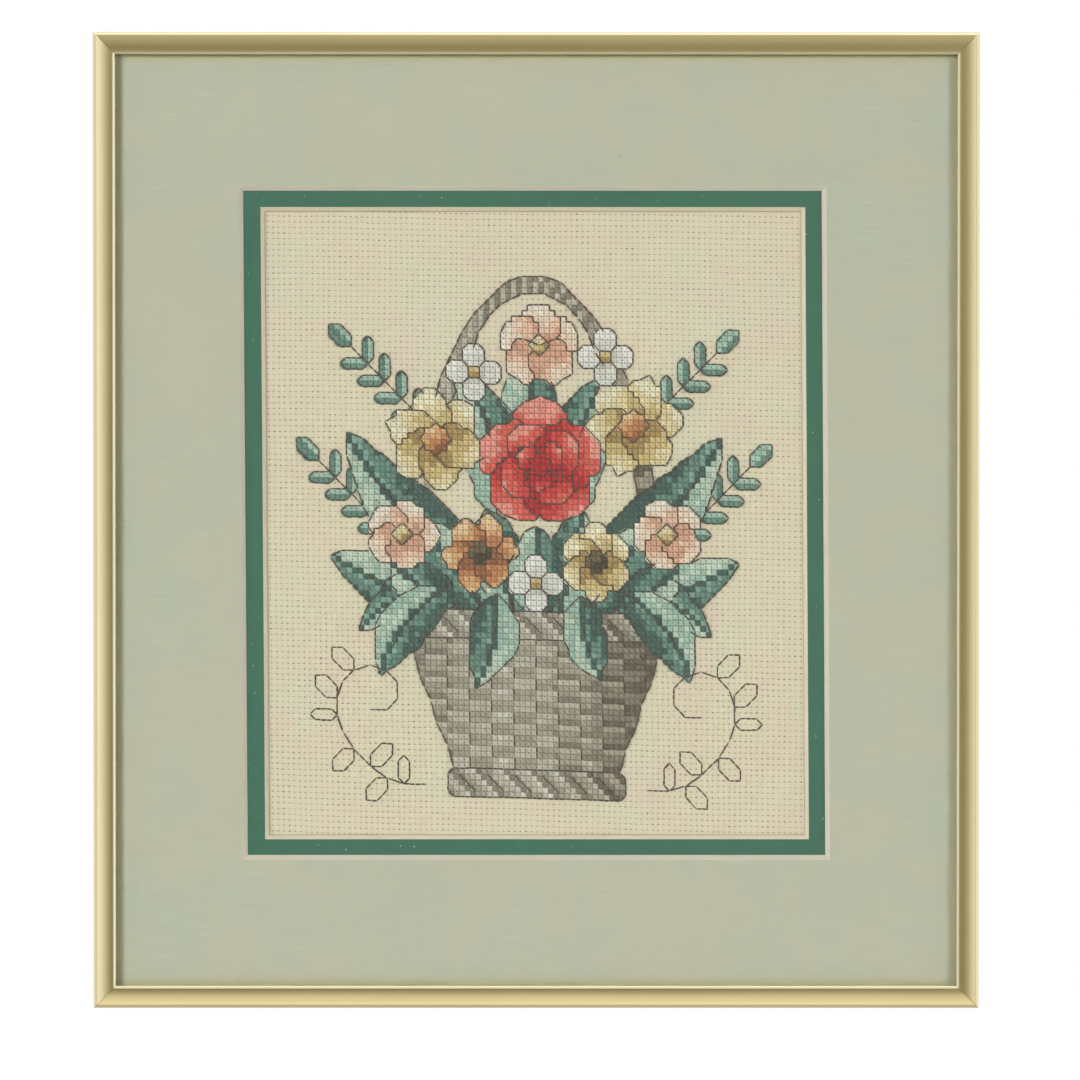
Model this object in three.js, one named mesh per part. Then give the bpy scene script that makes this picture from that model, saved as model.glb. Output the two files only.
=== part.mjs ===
// Framed cross-stitch picture: four mitred metal rails joined by corner plates hold a glass pane,
// two bevelled mats, a stretched sheet of evenweave cloth and its mounting board.
// Millimetres, +X right, +Z up. The face looks along -Y and the back lies in the plane y = 0.
// The origin is on the top rail's rear face, midway along it, where the wall holds the picture.

import * as THREE from "three";
import { mergeVertices } from "three/addons/utils/BufferGeometryUtils.js";

// Outside of the frame
const WIDTH = 286;
const HEIGHT = 315;
const DEPTH = 19;

// Section of a rail: distances from its outer edge, and depths behind its front edge
const FACE = 7.15;
const WALL = 1.3;
const EDGE_RADIUS = 0.8;
const BEAD_RADIUS = 0.5;
const SCOOP_ANGLE = THREE.MathUtils.degToRad(35);
const BEAD_CENTRE_DEPTH = 1.4;
const LIP_DEPTH = 2.7;
const CHANNEL_WIDTH = 10.5;
const CHANNEL_WALL = 1.1;
const SHELF = 1;
const REAR_LIP = 3;
const REAR_LIP_THICKNESS = 1.2;
const SCOOP_STEPS = 10;
const BEAD_STEPS = 10;
const EDGE_STEPS = 6;

// Gaps between pieces that touch, and the open hairline of a mitre
const GAP = 0.3;
const MITRE_GAP = 0.3;

// Sheets in the rebate, front to back
const GLASS = 2;
const MAT = 1.4;
const CLOTH = 1;
const BOARD = 3;
const CLOTH_MARGIN = 12;

// Mat windows, measured across the lower edge of the outer bevel and the upper edge of the inner one
const OUTER_WINDOW = { width: 187.1, height: 215, x: -0.6, z: -0.85 };
const INNER_WINDOW = { width: 176.1, height: 204.6, x: -0.45, z: -0.95 };
// The windows' top edges sit this far to the left of their bottom edges
const WINDOW_LEAN = 1.4;

// Corner plates
const PLATE_LEG = 30;
const PLATE_CHAMFER = 1;

// Depths that follow from the stack
const glassFront = LIP_DEPTH + GAP;
const outerMatFront = glassFront + GLASS + GAP;
const innerMatFront = outerMatFront + MAT + GAP;
const clothFront = innerMatFront + MAT + GAP;
const boardFront = clothFront + CLOTH + GAP;
const shelfFront = boardFront + BOARD + GAP;
const channelFront = shelfFront + SHELF;
const channelBack = DEPTH - REAR_LIP_THICKNESS;
const sheetWidth = WIDTH - 2 * (WALL + GAP);
const sheetHeight = HEIGHT - 2 * (WALL + GAP);

const finishes = {
  gold: new THREE.MeshStandardMaterial({ color: 0xcbb67f, roughness: 0.36, metalness: 1 }),
  steel: new THREE.MeshStandardMaterial({ color: 0x9a9c9e, roughness: 0.45, metalness: 1 }),
  glass: new THREE.MeshStandardMaterial({
    color: 0xf4faf6, roughness: 0.02, metalness: 0, transparent: true, opacity: 0.12,
  }),
  sage: new THREE.MeshStandardMaterial({ color: 0xb5bba2, roughness: 0.9, metalness: 0 }),
  teal: new THREE.MeshStandardMaterial({ color: 0x4d7864, roughness: 0.9, metalness: 0 }),
  aida: new THREE.MeshStandardMaterial({ color: 0xd8d0af, roughness: 0.95, metalness: 0 }),
  board: new THREE.MeshStandardMaterial({ color: 0xa58a66, roughness: 0.92, metalness: 0 }),
};

// Points of an arc about (cx, cy) from one angle to another, both ends included
function arc(cx, cy, radius, from, to, steps) {
  return Array.from({ length: steps + 1 }, (_, i) => {
    const angle = from + ((to - from) * i) / steps;
    return new THREE.Vector2(cx + radius * Math.cos(angle), cy + radius * Math.sin(angle));
  });
}

// The metal section as a closed outline: x inward from the outer edge, y back from the front
function railSection() {
  const front = -Math.PI / 2;
  const edge = arc(EDGE_RADIUS, EDGE_RADIUS, EDGE_RADIUS, -Math.PI, front + SCOOP_ANGLE, EDGE_STEPS);
  const scoopStart = edge[edge.length - 1];
  const grooveAt = FACE - 2 * BEAD_RADIUS;
  const scoopRadius = (grooveAt - scoopStart.x) / Math.sin(SCOOP_ANGLE);
  const scoopCentre = scoopStart.y - scoopRadius * Math.cos(SCOOP_ANGLE);
  const back = Math.PI / 2;
  const scoop = arc(grooveAt, scoopCentre, scoopRadius, back + SCOOP_ANGLE, back, SCOOP_STEPS);
  const bead = arc(FACE - BEAD_RADIUS, BEAD_CENTRE_DEPTH, BEAD_RADIUS, -Math.PI, 0, BEAD_STEPS);
  const rear = [
    [FACE, LIP_DEPTH],
    [WALL, LIP_DEPTH],
    [WALL, shelfFront],
    [CHANNEL_WIDTH, shelfFront],
    [CHANNEL_WIDTH, DEPTH],
    [CHANNEL_WIDTH - REAR_LIP, DEPTH],
    [CHANNEL_WIDTH - REAR_LIP, channelBack],
    [CHANNEL_WIDTH - CHANNEL_WALL, channelBack],
    [CHANNEL_WIDTH - CHANNEL_WALL, channelFront],
    [WALL, channelFront],
    [WALL, channelBack],
    [REAR_LIP, channelBack],
    [REAR_LIP, DEPTH],
    [0, DEPTH],
  ].map(([x, y]) => new THREE.Vector2(x, y));
  return new THREE.Shape([...edge, ...scoop.slice(1), ...bead, ...rear]);
}

// One rail, its outer edge along local X through the origin and its inside towards local +Z.
// Both ends are cut back in step with the distance from the outer edge, which mitres them.
function railGeometry(length) {
  const geometry = new THREE.ExtrudeGeometry(railSection(), { depth: length, bevelEnabled: false });
  geometry.translate(0, 0, -length / 2);
  const places = geometry.attributes.position;
  for (let i = 0; i < places.count; i += 1) {
    const end = Math.sign(places.getZ(i));
    places.setZ(i, end * (length / 2 - places.getX(i) - MITRE_GAP / Math.SQRT2));
  }
  geometry.rotateY(-Math.PI / 2);
  return geometry;
}

function rail(name, length, x, z, turn) {
  const mesh = new THREE.Mesh(railGeometry(length), finishes.gold);
  mesh.name = name;
  mesh.position.set(x, 0, z);
  mesh.rotation.y = turn;
  return mesh;
}

// Corners of a rectangle whose top edge is shifted left by the lean
function cornerPoints({ width, height, x, z }, grow = 0, lean = 0) {
  const halfWidth = width / 2 + grow;
  const halfHeight = height / 2 + grow;
  return [
    new THREE.Vector2(x - halfWidth + lean / 2, z - halfHeight),
    new THREE.Vector2(x + halfWidth + lean / 2, z - halfHeight),
    new THREE.Vector2(x + halfWidth - lean / 2, z + halfHeight),
    new THREE.Vector2(x - halfWidth - lean / 2, z + halfHeight),
  ];
}

// A flat piece drawn in the picture's plane, from its front depth back through its thickness
function flatPiece(name, shape, front, thickness, finish) {
  const geometry = new THREE.ExtrudeGeometry(shape, { depth: thickness, bevelEnabled: false });
  geometry.rotateX(Math.PI / 2);
  const mesh = new THREE.Mesh(geometry, finish);
  mesh.name = name;
  mesh.position.y = front + thickness;
  return mesh;
}

function sheet(name, front, thickness, margin, finish) {
  const size = { width: sheetWidth, height: sheetHeight, x: 0, z: 0 };
  return flatPiece(name, new THREE.Shape(cornerPoints(size, -margin)), front, thickness, finish);
}

// A mat board whose window is cut at 45 degrees: wider by the board's thickness at the front
function mat(name, backWindow, front, finish) {
  const outline = cornerPoints({ width: sheetWidth, height: sheetHeight, x: 0, z: 0 });
  const window = cornerPoints(backWindow, 0, WINDOW_LEAN);
  const wide = cornerPoints(backWindow, MAT, WINDOW_LEAN);
  const shape = new THREE.Shape(outline);
  shape.holes.push(new THREE.Path(window));
  const mesh = flatPiece(name, shape, front, MAT, finish);
  const places = mesh.geometry.attributes.position;
  const frontY = -MAT;
  for (let i = 0; i < places.count; i += 1) {
    const corner = window.findIndex((point) =>
      Math.hypot(point.x - places.getX(i), point.y - places.getZ(i)) < GAP);
    if (corner >= 0 && places.getY(i) < frontY / 2) {
      places.setXYZ(i, wide[corner].x, frontY, wide[corner].y);
    }
  }
  return mesh;
}

// An L-shaped plate that fills the rails' rear channels round one corner
function cornerPlate(name, sideX, sideZ, turn) {
  const outer = WALL + GAP;
  const inner = CHANNEL_WIDTH - CHANNEL_WALL - GAP;
  const end = outer + PLATE_LEG;
  const shape = new THREE.Shape([
    [outer + PLATE_CHAMFER, outer],
    [end, outer],
    [end, inner],
    [inner, inner],
    [inner, end],
    [outer, end],
    [outer, outer + PLATE_CHAMFER],
  ].map(([x, z]) => new THREE.Vector2(x, z)));
  const thickness = channelBack - channelFront - 2 * GAP;
  const mesh = flatPiece(name, shape, channelFront + GAP, thickness, finishes.steel);
  mesh.position.x = (sideX * WIDTH) / 2;
  mesh.position.z = (sideZ * HEIGHT) / 2;
  mesh.rotation.y = turn;
  return mesh;
}

// Joins the corners that the extrusions repeat, so that every solid is one closed surface
function weld(mesh) {
  mesh.geometry.deleteAttribute("normal");
  mesh.geometry.deleteAttribute("uv");
  mesh.geometry = mergeVertices(mesh.geometry);
  mesh.geometry.computeVertexNormals();
  return mesh;
}

const innerWindowBack = {
  ...INNER_WINDOW,
  width: INNER_WINDOW.width - 2 * MAT,
  height: INNER_WINDOW.height - 2 * MAT,
};
const quarter = Math.PI / 2;

const group = new THREE.Group();
group.position.set(0, -DEPTH, REAR_LIP / 2 - HEIGHT / 2);
group.add(...[
  rail("rail_bottom", WIDTH, 0, -HEIGHT / 2, 0),
  rail("rail_top", WIDTH, 0, HEIGHT / 2, 2 * quarter),
  rail("rail_left", HEIGHT, -WIDTH / 2, 0, quarter),
  rail("rail_right", HEIGHT, WIDTH / 2, 0, -quarter),
  cornerPlate("corner_plate_bottom_left", -1, -1, 0),
  cornerPlate("corner_plate_top_left", -1, 1, quarter),
  cornerPlate("corner_plate_top_right", 1, 1, 2 * quarter),
  cornerPlate("corner_plate_bottom_right", 1, -1, -quarter),
  sheet("glass", glassFront, GLASS, 0, finishes.glass),
  mat("outer_mat", OUTER_WINDOW, outerMatFront, finishes.sage),
  mat("inner_mat", innerWindowBack, innerMatFront, finishes.teal),
  sheet("cloth", clothFront, CLOTH, CLOTH_MARGIN, finishes.aida),
  sheet("mounting_board", boardFront, BOARD, 0, finishes.board),
].map(weld));

export default group;
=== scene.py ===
"""Looks of the framed cross-stitch picture: fine gold rails, bevelled mats, a woven cloth and its stitches.

Sizes are in millimetres in the picture's own plane until a mesh is made: x to the right and z up from the
picture's middle, and a depth behind the front of the frame. place() turns them into metres in the part's frame.
"""

import math

import bmesh
import bpy
import numpy as np
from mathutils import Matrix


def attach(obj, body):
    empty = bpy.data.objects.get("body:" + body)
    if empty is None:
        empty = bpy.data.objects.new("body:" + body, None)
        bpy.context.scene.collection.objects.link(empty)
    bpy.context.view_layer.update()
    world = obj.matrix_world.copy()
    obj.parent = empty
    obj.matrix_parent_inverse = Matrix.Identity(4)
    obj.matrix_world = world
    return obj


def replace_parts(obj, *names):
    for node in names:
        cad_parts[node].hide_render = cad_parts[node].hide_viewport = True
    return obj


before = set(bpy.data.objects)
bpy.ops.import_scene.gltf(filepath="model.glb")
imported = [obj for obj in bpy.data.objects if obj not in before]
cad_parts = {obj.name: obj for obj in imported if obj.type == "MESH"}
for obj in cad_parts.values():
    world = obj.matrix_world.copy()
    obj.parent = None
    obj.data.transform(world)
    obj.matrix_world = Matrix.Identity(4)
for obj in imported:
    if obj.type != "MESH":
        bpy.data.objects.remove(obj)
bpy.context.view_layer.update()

# The frame, as in the part: outside size, its middle's height, and its face with the bead
WIDTH, HEIGHT, DEPTH = 286.0, 315.0, 19.0
CENTRE_Z = -156.0
FACE, BEAD, BEAD_FRONT, BEAD_BACK = 7.15, 1.0, 0.9, 1.45
# Sheets, and depths behind the front
MAT = 1.4
OUTER_MAT_FRONT, INNER_MAT_FRONT, CLOTH_FRONT, CLOTH_BACK = 5.3, 7.0, 8.7, 9.7
SHEET_WIDTH, SHEET_HEIGHT = 282.8, 311.8
CLOTH_WIDTH, CLOTH_HEIGHT = 258.8, 287.8
PLATE_BACK = 17.5

random = np.random.default_rng(14)


def place(points):
    """Picture millimetres (x, depth, z) as metres in the part's frame."""
    points = np.asarray(points, float)
    return (points + (0, -DEPTH, CENTRE_Z)) / 1000


def add_camera():
    """The photo's camera, its place and turn fitted to the frame's corners there."""
    data = bpy.data.cameras.new("camera")
    data.sensor_width = 36
    data.lens = 155.08
    camera = bpy.data.objects.new("camera", data)
    camera.location = (-0.00074, -1.519, -0.14095)
    camera.rotation_euler = [math.radians(a) for a in (89.188, -0.011, -0.073)]
    bpy.context.scene.collection.objects.link(camera)
    bpy.context.scene.camera = camera


def add_lamp(name, location, rotation, width, height, watts):
    """A soft rectangular lamp, unseen itself. The metal mirrors the studio of the world instead."""
    data = bpy.data.lights.new(name, "AREA")
    data.shape = "RECTANGLE"
    data.size, data.size_y = width, height
    data.energy = watts
    lamp = bpy.data.objects.new(name, data)
    lamp.location = location
    lamp.rotation_euler = rotation
    lamp.visible_camera = False
    lamp.visible_glossy = False
    bpy.context.scene.collection.objects.link(lamp)


def add_side_lamp(name, degrees, watts):
    """A lamp a little above the picture and facing it, some degrees round from straight ahead."""
    angle, rise, distance = math.radians(degrees), math.radians(8.5), 4.8
    level = distance * math.cos(rise)
    location = (level * math.sin(angle), -level * math.cos(angle), CENTRE_Z / 1000 + distance * math.sin(rise))
    add_lamp(name, location, (math.pi / 2 - rise, 0, angle), 1.2, 1.4, watts)


def linear(red, green, blue):
    """A display colour out of 255 as linear light."""
    def one(value):
        value /= 255
        return value / 12.92 if value <= 0.04045 else ((value + 0.055) / 1.055) ** 2.4
    return (one(red), one(green), one(blue), 1.0)


class Nodes:
    """A node tree under construction. A value is a number, a colour or the socket of another node."""

    def __init__(self, tree):
        self.tree = tree

    def put(self, socket, value):
        if isinstance(value, bpy.types.NodeSocket):
            self.tree.links.new(value, socket)
        else:
            socket.default_value = value

    def add(self, kind, *values, **settings):
        node = self.tree.nodes.new("ShaderNode" + kind)
        for name, value in settings.items():
            setattr(node, name, value)
        for socket, value in zip(node.inputs, values):
            self.put(socket, value)
        return node

    def math(self, operation, *values):
        return self.add("Math", *values, operation=operation).outputs[0]

    def times(self, first, second):
        return self.math("MULTIPLY", first, second)

    def plus(self, first, second):
        return self.math("ADD", first, second)

    def parts(self, vector):
        """The x, y and z of a vector."""
        return list(self.add("SeparateXYZ", vector).outputs)

    def between(self, value, low, high, to_low=0.0, to_high=1.0):
        """A value from low to high brought to another span, and held within it."""
        return self.add("MapRange", value, low, high, to_low, to_high).outputs[0]

    def mix(self, factor, first, second, blend="MIX"):
        node = self.add("Mix", data_type="RGBA", blend_type=blend)
        for number, value in ((0, factor), (6, first), (7, second)):
            self.put(node.inputs[number], value)
        return node.outputs[2]


class Finish(Nodes):
    """A material under construction. Its keywords are constants of the shader."""

    def __init__(self, name, **constants):
        self.material = bpy.data.materials.new(name)
        self.material.use_nodes = True
        super().__init__(self.material.node_tree)
        self.shader = self.tree.nodes["Principled BSDF"]
        for socket, value in constants.items():
            self.shader.inputs[socket.replace("_", " ")].default_value = value

    def place(self, scale=(1, 1, 1), uv=None):
        """Coordinates in metres, or those of a UV map, times a scale."""
        source = self.add("UVMap", uv_map=uv).outputs[0] if uv else self.add("TexCoord").outputs["Object"]
        return self.add("VectorMath", source, scale, operation="MULTIPLY").outputs[0]

    def noise(self, scale, detail, roughness, uv=None):
        """Noise to a scale in every direction, or to one for each."""
        stretched = isinstance(scale, tuple)
        vector = self.place(scale if stretched else (1, 1, 1), uv)
        node = self.add("TexNoise")
        for socket, value in (("Vector", vector), ("Scale", 1.0 if stretched else scale), ("Detail", detail),
                              ("Roughness", roughness)):
            self.put(node.inputs[socket], value)
        return node.outputs[0]

    def bump(self, height, distance, strength):
        node = self.add("Bump")
        for socket, value in (("Strength", strength), ("Distance", distance), ("Height", height)):
            self.put(node.inputs[socket], value)
        return node.outputs[0]

    def done(self, colour, roughness, normal=None):
        self.put(self.shader.inputs["Base Color"], colour)
        self.put(self.shader.inputs["Roughness"], roughness)
        if normal is not None:
            self.put(self.shader.inputs["Normal"], normal)
        return self.material


def gold_finish(name, shade, pale, satin, polished):
    """Satin anodised aluminium, brushed along each rail: two shades of gold, its roughest and its smoothest."""
    f = Finish(name, Metallic=1.0, Anisotropic=0.5, Anisotropic_Rotation=0.25)
    grain = f.noise((60, 26000, 1), 3.0, 0.65, uv="rail")
    long_grain = f.noise((9, 5000, 1), 2.0, 0.6, uv="rail")
    cloudy = f.noise((30, 30, 30), 3.0, 0.6)
    rubbed = f.between(f.noise((160, 400, 160), 5.0, 0.7), 0.66, 0.74)
    nicks = f.noise((190, 760, 1), 3.0, 0.6, uv="rail")
    seen = f.mix(f.between(long_grain, 0.3, 0.7), shade, pale)
    seen = f.mix(f.between(cloudy, 0.35, 0.65, 0.0, 0.4), seen, shade)
    seen = f.mix(f.times(rubbed, 0.55), seen, (0.80, 0.74, 0.56, 1))
    seen = f.mix(f.between(nicks, 0.775, 0.80, 0.0, 0.6), seen, (0.30, 0.20, 0.09, 1))
    roughness = f.plus(f.between(grain, 0.3, 0.7, polished, satin), f.times(rubbed, 0.06))
    f.put(f.shader.inputs["Tangent"], f.add("Tangent", direction_type="UV_MAP", uv_map="rail").outputs[0])
    return f.done(seen, roughness, f.bump(grain, 0.000003, 0.3))


def steel_finish():
    """Zinc-plated steel with the faint spangle of the plating."""
    f = Finish("zinc_plate", Metallic=1.0)
    spangle = f.add("TexVoronoi")
    f.put(spangle.inputs["Vector"], f.place())
    f.put(spangle.inputs["Scale"], 420.0)
    dull = f.noise(180.0, 4.0, 0.6)
    seen = f.mix(f.between(spangle.outputs["Color"], 0.2, 0.8), (0.50, 0.51, 0.52, 1), (0.62, 0.63, 0.65, 1))
    seen = f.mix(f.between(dull, 0.5, 0.7, 0.0, 0.5), seen, (0.40, 0.40, 0.39, 1))
    return f.done(seen, f.between(dull, 0.3, 0.7, 0.30, 0.52), f.bump(dull, 0.00003, 0.4))


def glass_finish():
    """Clear picture glass with the faintest haze. Lamps shine through it."""
    f = Finish("picture_glass", Transmission_Weight=1.0, IOR=1.5)
    haze = f.noise((14, 14, 14), 4.0, 0.6)
    f.done((0.985, 0.995, 0.99, 1), f.between(haze, 0.4, 0.8, 0.0, 0.012))
    clear = f.add("BsdfTransparent", (0.97, 0.98, 0.975, 1)).outputs[0]
    shadow = f.add("LightPath").outputs["Is Shadow Ray"]
    both = f.add("MixShader", shadow, f.shader.outputs[0], clear).outputs[0]
    f.put(f.tree.nodes["Material Output"].inputs["Surface"], both)
    return f.material


# The gold light beside the frame's lip, painted into the mat's colour: its colour, and how far it reaches in from the
# lip
GLOW, GLOW_REACH = (1.02, 0.97, 0.70, 1), 3.0


def beside_lip(f):
    """How near a place on the mat is to the frame's lip: 1 under it, and 0 from GLOW_REACH on."""
    x, _, z = f.parts(f.place((1000, 1000, 1000)))
    gap_x = f.math("SUBTRACT", WIDTH / 2 - FACE, f.math("ABSOLUTE", x))
    gap_z = f.math("SUBTRACT", HEIGHT / 2 - FACE, f.math("ABSOLUTE", f.math("SUBTRACT", z, CENTRE_Z)))
    near = f.between(f.math("MINIMUM", gap_x, gap_z), 0.0, GLOW_REACH, 1.0, 0.0)
    return f.math("POWER", near, 0.8)


def mat_paper(name, colour, deep, flush, speck, speck_share, laid_share):
    """Faced mat board: a fine laid grain across, slow blotches that fade towards a flush, and a few specks.

    Beside the frame it carries painted gold light for what the gold lip throws on it.
    """
    f = Finish(name, Specular_IOR_Level=0.25)
    laid = f.noise((70, 70, 2600), 3.0, 0.6)
    fibre = f.noise(1700.0, 4.0, 0.65)
    blotch = f.noise(55.0, 4.0, 0.6)
    cloud = f.noise(16.0, 3.0, 0.55)
    dots = f.noise(900.0, 1.0, 0.5)
    seen = f.mix(f.between(laid, 0.32, 0.68, 1 - laid_share, 1.0), deep, colour)
    seen = f.mix(f.between(blotch, 0.42, 0.66, 0.0, 0.45), seen, flush)
    seen = f.mix(f.between(cloud, 0.42, 0.62, 0.0, 0.4), seen, flush)
    seen = f.mix(f.between(fibre, 0.5, 0.75, 0.0, 0.3), seen, colour)
    seen = f.mix(f.between(dots, speck_share, speck_share + 0.05, 0.0, 0.7), seen, speck)
    # Painted gold light beside the lip
    seen = f.mix(beside_lip(f), seen, GLOW, blend="MULTIPLY")
    height = f.plus(laid, f.times(fibre, 0.6))
    return f.done(seen, f.between(fibre, 0.3, 0.7, 0.86, 0.97), f.bump(height, 0.00005, 0.5))


def core_paper(name, colour, shade):
    """The cut core of a mat board, with its pressed layers."""
    f = Finish(name, Specular_IOR_Level=0.2)
    layers = f.noise((200, 9000, 200), 3.0, 0.6)
    fibre = f.noise(2500.0, 3.0, 0.6)
    seen = f.mix(f.between(layers, 0.3, 0.7), shade, colour)
    seen = f.mix(f.between(fibre, 0.55, 0.75, 0.0, 0.4), seen, shade)
    return f.done(seen, f.between(fibre, 0.3, 0.7, 0.88, 0.98), f.bump(fibre, 0.00004, 0.6))


def board_finish():
    """Brown kraft-faced backing board."""
    f = Finish("kraft_board", Specular_IOR_Level=0.2)
    fibre = f.noise((1500, 1500, 375), 5.0, 0.7)
    cloudy = f.noise(40.0, 5.0, 0.6)
    flecks = f.noise((620, 620, 248), 2.0, 0.5)
    seen = f.mix(f.between(fibre, 0.3, 0.7), (0.30, 0.205, 0.115, 1), (0.42, 0.30, 0.18, 1))
    seen = f.mix(f.between(cloudy, 0.35, 0.7, 0.0, 0.4), seen, (0.36, 0.27, 0.175, 1))
    seen = f.mix(f.between(flecks, 0.66, 0.72, 0.0, 0.6), seen, (0.20, 0.13, 0.07, 1))
    return f.done(seen, f.between(fibre, 0.3, 0.7, 0.82, 0.95), f.bump(fibre, 0.00006, 0.7))


CLOTH_WARM, CLOTH_PALE, CLOTH_PINK = linear(227, 217, 187), linear(222, 217, 190), linear(229, 210, 188)
# Painted shade colours: for the gaps between threads and along the sunk rims, and for the holes
CLOTH_CREVICE_SHADE, CLOTH_HOLE_SHADE = linear(196, 185, 152), linear(140, 128, 96)
# The slubs are the cloth's own colour; the second colour is painted shade on the cloth under the stitches
CLOTH_SLUB, CLOTH_SHADE_UNDER_FLOSS = linear(200, 182, 140), linear(118, 112, 94)
THREADS_IN_SQUARE = 4.0


def cloth_finish():
    """Cream evenweave: crossing threads in each square, painted shade in the holes, along the rims and between the
    threads, painted shade under the stitches, and faint stains of age.
    """
    f = Finish("aida_cotton", Sheen_Weight=0.15, Sheen_Roughness=0.5, Specular_IOR_Level=0.15)
    across, up, _ = f.parts(f.place(uv="weave"))

    def thread(value):
        """The height of a row of round threads."""
        return f.math("SINE", f.times(f.math("FRACT", f.times(value, THREADS_IN_SQUARE)), math.pi))

    def order(value):
        """Which thread of the row it is."""
        return f.math("FLOOR", f.times(value, THREADS_IN_SQUARE))

    def to_line(value):
        """How far off the nearest line of holes is, in squares."""
        return f.math("ABSOLUTE", f.math("SUBTRACT", f.math("FRACT", f.plus(value, 0.5)), 0.5))

    over = f.math("MODULO", f.math("ABSOLUTE", f.plus(order(across), order(up))), 2.0)
    warp = f.times(thread(across), f.plus(f.times(over, 0.45), 0.55))
    weft = f.times(thread(up), f.math("SUBTRACT", 1.0, f.times(over, 0.45)))
    threads = f.math("MAXIMUM", warp, weft)
    fuzz = f.noise(4200.0, 3.0, 0.6)

    line_x, line_z = to_line(across), to_line(up)
    ragged = f.noise(520.0, 2.0, 0.6)
    wide, tall = f.times(line_x, 0.8), f.times(line_z, 1.25)
    hole = f.math("SQRT", f.plus(f.math("POWER", wide, 2.0), f.math("POWER", tall, 2.0)))
    hole = f.math("SUBTRACT", hole, f.between(ragged, 0.3, 0.7, -0.05, 0.04))
    rim = f.math("MINIMUM", f.plus(line_x, 0.03), line_z)
    open_share = f.between(f.noise(330.0, 2.0, 0.5), 0.35, 0.65, 0.4, 1.0)
    pit = f.times(f.between(hole, 0.08, 0.19, 1.0, 0.0), open_share)

    slow = f.noise(38.0, 4.0, 0.6)
    slow_too = f.noise((61.0, 61.0, 73.2), 4.0, 0.6)
    slub = f.noise((300, 300, 2200), 2.0, 0.5)
    floss_shade = f.add("Attribute", attribute_name="floss_shade_share").outputs["Fac"]
    seen = f.mix(f.between(slow, 0.35, 0.65), CLOTH_WARM, CLOTH_PALE)
    seen = f.mix(f.between(slow_too, 0.46, 0.62, 0.0, 0.7), seen, CLOTH_PINK)
    # Painted shade between the threads, along the rims and in the holes
    seen = f.mix(f.between(threads, 0.15, 0.9, 0.14, 0.0), seen, CLOTH_CREVICE_SHADE)
    seen = f.mix(f.between(rim, 0.02, 0.14, 0.26, 0.0), seen, CLOTH_CREVICE_SHADE)
    seen = f.mix(pit, seen, CLOTH_HOLE_SHADE)
    seen = f.mix(f.between(slub, 0.66, 0.76, 0.0, 0.3), seen, CLOTH_SLUB)
    # Painted shade on the cloth under the stitches
    seen = f.mix(f.times(floss_shade, 0.95), seen, CLOTH_SHADE_UNDER_FLOSS)
    height = f.plus(threads, f.times(fuzz, 0.35))
    return f.done(seen, f.between(fuzz, 0.3, 0.7, 0.85, 0.98), f.bump(height, 0.00012, 0.6))


def floss_finish(name, colour):
    """Stranded cotton with a soft gloss, its twist running round each strand with painted shade in the twist's
    grooves.
    """
    f = Finish(name, Sheen_Weight=0.12, Sheen_Roughness=0.4, Specular_IOR_Level=0.35)
    along, around, _ = f.parts(f.place(uv="thread"))
    twist = f.math("SINE", f.times(f.plus(f.times(along, 2.4), around), 2 * math.pi))
    dye = f.noise(260.0, 3.0, 0.6)
    fuzz = f.noise(5200.0, 2.0, 0.6)
    deep = tuple(channel * 0.88 for channel in colour[:3]) + (1,)
    pale = tuple(min(1.0, channel * 1.12 + 0.01) for channel in colour[:3]) + (1,)
    seen = f.mix(f.between(dye, 0.3, 0.7), deep, pale)
    # Painted shade in the grooves of the twist
    seen = f.mix(f.between(twist, -1.0, -0.2, 0.3, 0.0), seen, deep)
    height = f.plus(f.times(twist, 0.5), f.times(fuzz, 0.6))
    return f.done(seen, f.between(fuzz, 0.3, 0.7, 0.5, 0.66), f.bump(height, 0.00005, 0.5))


def floor_finish():
    """Matt pale paint, a little cloudy."""
    f = Finish("floor_paint", Specular_IOR_Level=0.2)
    cloudy = f.noise(1.3, 4.0, 0.6)
    seen = f.mix(f.between(cloudy, 0.3, 0.7), (0.80, 0.80, 0.79, 1), (0.85, 0.85, 0.84, 1))
    return f.done(seen, f.between(cloudy, 0.3, 0.7, 0.7, 0.8))


def finish_piece(mesh, name, materials, smooth_below=0):
    """Makes a mesh a piece of the object that rides on its one body. Edges below an angle are smoothed."""
    for material in materials:
        mesh.materials.append(material)
    mesh.polygons.foreach_set("use_smooth", np.full(len(mesh.polygons), smooth_below > 0))
    if 0 < smooth_below < 180:
        mesh.set_sharp_from_angle(angle=math.radians(smooth_below))
    piece = bpy.data.objects.new(name, mesh)
    bpy.context.scene.collection.objects.link(piece)
    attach(piece, "root")
    return piece


def array_mesh(name, points, groups, uv_name=None, uv=None):
    """A mesh from arrays: groups holds arrays of faces, each array with one number of corners per face."""
    mesh = bpy.data.meshes.new(name)
    corners = np.concatenate([g.ravel() for g in groups])
    totals = np.concatenate([np.full(len(g), g.shape[1]) for g in groups])
    mesh.vertices.add(len(points))
    mesh.vertices.foreach_set("co", place(points).astype(np.float32).ravel())
    mesh.loops.add(len(corners))
    mesh.loops.foreach_set("vertex_index", corners.astype(np.int32))
    mesh.polygons.add(len(totals))
    starts = np.concatenate([[0], np.cumsum(totals)[:-1]])
    mesh.polygons.foreach_set("loop_start", starts.astype(np.int32))
    if uv is not None:
        layer = mesh.uv_layers.new(name=uv_name)
        layer.data.foreach_set("uv", uv[corners].astype(np.float32).ravel())
    mesh.update(calc_edges=True)
    mesh.validate()
    return mesh


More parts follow.
